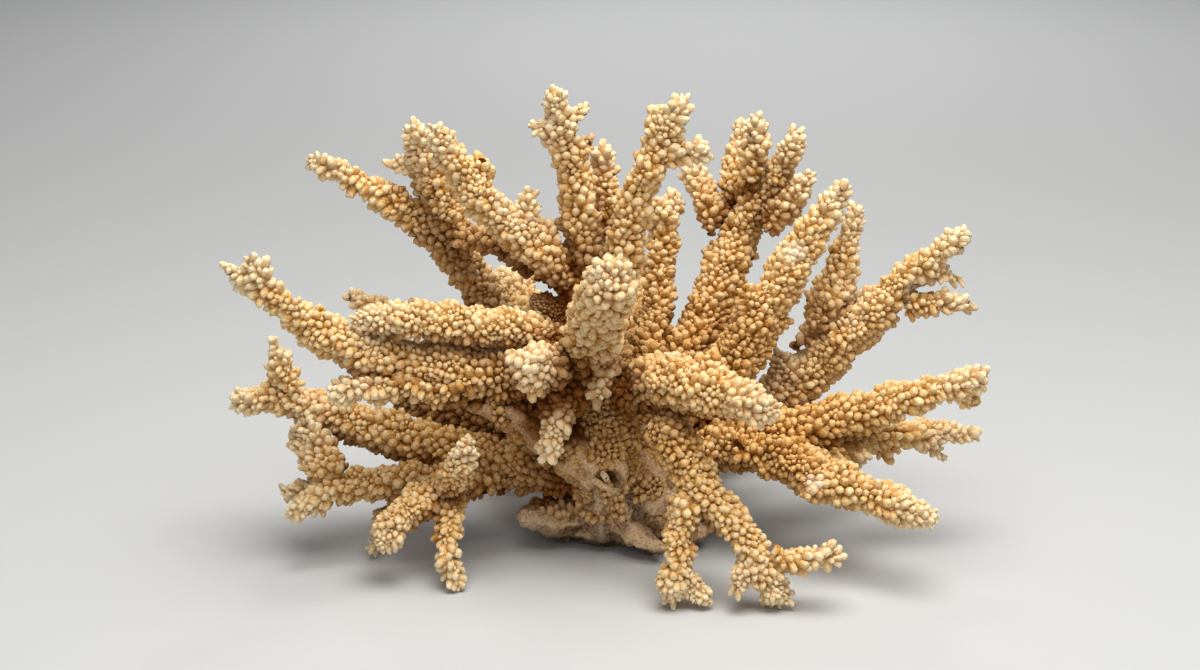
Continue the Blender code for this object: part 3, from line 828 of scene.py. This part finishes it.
class Shader:
    """A material in the making."""

    def __init__(self, name):
        self.material = bpy.data.materials.new(name)
        self.material.use_nodes = True
        self.tree = self.material.node_tree
        self.surface = self.tree.nodes["Principled BSDF"]

    def node(self, kind, settings=None, inputs=None, output=0):
        """Adds a node with its settings, joins or sets its inputs, and returns its output."""
        node = self.tree.nodes.new(kind)
        for setting, value in (settings or {}).items():
            setattr(node, setting, value)
        for name, value in (inputs or {}).items():
            self.put(node.inputs[name], value)
        return Value(self, node.outputs[output])

    def put(self, socket, value):
        """Joins a value to a socket, or sets the socket to a plain number or colour."""
        if isinstance(value, Value):
            self.tree.links.new(value.socket, socket)
        elif isinstance(value, tuple) and len(value) == 3 and socket.type == "RGBA":
            socket.default_value = (*value, 1)
        else:
            socket.default_value = value

    def field(self, name):
        """One of the mesh's fields."""
        return self.node("ShaderNodeAttribute", {"attribute_name": name}, output="Fac")

    def place(self):
        """The place on the object, in metres."""
        return self.node("ShaderNodeTexCoord", output="Object")

    def height(self):
        """The height over the floor, in millimetres."""
        return self.node("ShaderNodeSeparateXYZ", {}, {"Vector": self.place()}, "Z") * 1000

    def noise(self, size, detail=3):
        """A cloud pattern with values around 0.5 and features of this size."""
        inputs = {"Vector": self.place(), "Scale": 1 / size, "Detail": detail}
        return self.node("ShaderNodeTexNoise", {}, inputs, "Fac")

    def mix(self, first, second, share, blend="MIX"):
        """The second colour laid over the first by this share, or multiplied with it."""
        settings = {"data_type": "RGBA", "blend_type": blend}
        first_colour, second_colour, mixed_colour = 6, 7, 2
        inputs = {"Factor": share, first_colour: first, second_colour: second}
        return self.node("ShaderNodeMix", settings, inputs, mixed_colour)

    def set(self, name, value):
        """Sets one of the surface's own inputs."""
        self.put(self.surface.inputs[name], value)


def cup_colour(shader, grain, inner, outer, tip):
    """Amber valleys darkened with painted shade between the cups, tan flanks and pale tops, darker
    towards the trunk, lighter higher up with painted light, and palest at the tips.
    """
    rise = shader.field("rise")
    tip_way = shader.field("tip_way")
    cloud = shader.noise(22 * MM)
    lift = rise + 1.7 * (grain - 0.5) + 0.35 * (shader.field("tint") - 0.5)
    near_end = 1 - (tip_way + 30 * (cloud - 0.5)).between(26, 82)
    # Higher up the outer colours take over, as painted light from above.
    outward_and_lit = near_end + 0.5 * shader.height().between(60, 140)
    valley, flank, top = (shader.mix(near, far, outward_and_lit) for near, far in zip(inner, outer))
    # The valley colour is partly painted shade low between the cups.
    colour = shader.mix(valley, flank, lift.between(-0.1, 0.45))
    colour = shader.mix(colour, top, lift.between(0.4, 1.1))
    near_tip = 1 - (tip_way + 16 * (cloud - 0.5)).between(1, 28)
    colour = shader.mix(colour, tip, near_tip * (0.25 + 0.5 * rise))
    amber = 0.4 * shader.noise(6 * MM, 4).between(0.5, 0.72)
    return shader.mix(colour, (0.56, 0.26, 0.06), amber)


def crust_colour(shader, grain):
    """Porous grey-brown at the foot and golden brown above, with paler edges."""
    cloud = shader.noise(13 * MM, 4)
    pores = shader.noise(1.3 * MM, 3)
    low = shader.mix((0.30, 0.20, 0.15), (0.56, 0.34, 0.17), cloud.between(0.38, 0.6))
    high = shader.mix((0.48, 0.24, 0.062), (0.80, 0.45, 0.15), cloud.between(0.35, 0.65))
    colour = shader.mix(low, high, shader.height().between(24, 40))
    colour = shader.mix(colour, (0.84, 0.58, 0.31), 0.5 * pores.between(0.5, 0.66))
    pit = 1 - (pores + 0.5 * (grain - 0.5)).between(0.38, 0.5)
    colour = shader.mix(colour, (0.085, 0.042, 0.018), 0.62 * pit)
    return shader.mix(colour, (0.86, 0.62, 0.38), shader.field("edge") * (2.2 * grain - 0.4))


def coral_material(name, inner, outer, tip):
    """Coral with cups, bare crust and worn scars, each where the branch's fields say."""
    shader = Shader(name)
    grain = shader.noise(1.1 * MM, 4)
    crust = shader.field("crust")
    cups = cup_colour(shader, grain, inner, outer, tip)
    colour = shader.mix(cups, crust_colour(shader, grain), crust)
    scar = shader.mix((0.74, 0.57, 0.36), (0.96, 0.86, 0.68), grain.between(0.3, 0.6))
    colour = shader.mix(colour, scar, 0.85 * shader.field("worn"))
    # Painted shade: a warm darkening where other branches stand close round.
    colour = shader.mix(colour, (0.32, 0.175, 0.075), shader.field("shelter"), "MULTIPLY")
    # Painted shade, near black, in the crevice, in the tube's mouth and under the foot.
    colour = shader.mix(colour, (0.03, 0.018, 0.01), 0.9 * shader.field("dark"))
    shader.set("Base Color", colour)
    shader.set("Roughness", 0.62 + 0.25 * grain)
    shader.set("Specular IOR Level", 0.08)
    relief = grain + 0.8 * crust * shader.noise(1.6 * MM, 3)
    bump = {"Height": relief, "Strength": 1.0, "Distance": 0.9 * MM}
    shader.set("Normal", shader.node("ShaderNodeBump", {}, bump))
    return shader.material


# Colours of a cup's valley, flank and top, near the trunk and near the tips, and of the tips
# themselves. The valleys are amber, darkened further with painted shade between the cups.
CORAL_COLOURS = {
    "golden_coral": {
        "inner": ((0.17, 0.058, 0.008), (0.59, 0.29, 0.068), (0.89, 0.59, 0.25)),
        "outer": ((0.40, 0.175, 0.036), (0.80, 0.48, 0.16), (0.98, 0.77, 0.45)),
        "tip": (0.98, 0.86, 0.60),
    },
    "pale_coral": {
        "inner": ((0.19, 0.068, 0.010), (0.66, 0.345, 0.095), (0.93, 0.63, 0.28)),
        "outer": ((0.36, 0.155, 0.033), (0.78, 0.45, 0.15), (0.97, 0.74, 0.41)),
        "tip": (0.97, 0.82, 0.56),
    },
    "brown_coral": {
        "inner": ((0.14, 0.050, 0.007), (0.60, 0.31, 0.088), (0.90, 0.58, 0.24)),
        "outer": ((0.16, 0.066, 0.015), (0.56, 0.31, 0.11), (0.80, 0.54, 0.26)),
        "tip": (0.80, 0.60, 0.35),
    },
}

# The camera looks at the coral's middle from the front and a little above.
CAMERA_TARGET = Vector((-5, -14, 94.2)) * MM
CAMERA_DISTANCE = 950 * MM
CAMERA_ELEVATION = math.radians(17)
# Lens and sensor in millimetres
LENS = 70
SENSOR = 36

FLOOR_HALF = 6


def add_camera():
    """The camera, at the distance and height of the photograph's."""
    data = bpy.data.cameras.new("camera")
    data.lens = LENS
    data.sensor_width = SENSOR
    camera = bpy.data.objects.new("camera", data)
    back = Vector((0, -math.cos(CAMERA_ELEVATION), math.sin(CAMERA_ELEVATION)))
    camera.location = CAMERA_TARGET + CAMERA_DISTANCE * back
    camera.rotation_euler = (math.pi / 2 - CAMERA_ELEVATION, 0, 0)
    bpy.context.scene.collection.objects.link(camera)
    bpy.context.scene.camera = camera


def add_lamp(name, place, target, size, power, colour=(1, 1, 1)):
    """A round soft light that shines from its place at its target."""
    data = bpy.data.lights.new(name, "AREA")
    data.shape = "DISK"
    data.size = size
    data.energy = power
    data.color = colour
    lamp = bpy.data.objects.new(name, data)
    lamp.location = place
    lamp.rotation_euler = (Vector(target) - Vector(place)).to_track_quat("-Z", "Y").to_euler()
    bpy.context.scene.collection.objects.link(lamp)


def add_floor():
    """A plain pale floor at z = 0."""
    mesh = bpy.data.meshes.new("floor")
    corners = [(x * FLOOR_HALF, y * FLOOR_HALF, 0) for x, y in ((-1, -1), (1, -1), (1, 1), (-1, 1))]
    mesh.from_pydata(corners, [], [(0, 1, 2, 3)])
    floor = bpy.data.objects.new("floor", mesh)
    bpy.context.scene.collection.objects.link(floor)
    shader = Shader("pale floor")
    shader.set("Base Color", (0.545, 0.55, 0.55))
    shader.set("Roughness", 0.9)
    mesh.materials.append(shader.material)


def add_room():
    """An even pale sky, a large soft light above, and weaker ones behind and in front."""
    world = bpy.data.worlds.new("studio")
    world.use_nodes = True
    background = world.node_tree.nodes["Background"]
    background.inputs["Color"].default_value = (0.97, 0.98, 1.0, 1)
    background.inputs["Strength"].default_value = 0.19
    bpy.context.scene.world = world
    bpy.context.scene.view_settings.view_transform = "Standard"
    add_lamp("key", (0.12, -0.25, 1.05), (0, -0.05, 0.05), 0.95, 16.0, (1.0, 0.985, 0.95))
    add_lamp("back", (0.12, 1.35, 0.9), (0.12, 1.35, 0), 0.5, 6.2)
    add_lamp("front", (-0.3, -1.2, 0.7), (0, 0, 0.08), 0.8, 2.4)


def main():
    names = sorted(frame["nodes"])
    slots = {row["node"]: row["material_slot"] for row in frame["record"]["subparts"]}
    skin = Skin(names)
    measure(skin)
    materials = {
        slot: coral_material(slot.replace("_", " "), **colours)
        for slot, colours in CORAL_COLOURS.items()
    }
    for place, name in enumerate(names):
        piece = build_piece(skin, place)
        piece.data.materials.append(materials[slots[name]])
        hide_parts(name)
        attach(piece, "root")
    add_camera()
    add_floor()
    add_room()


main()
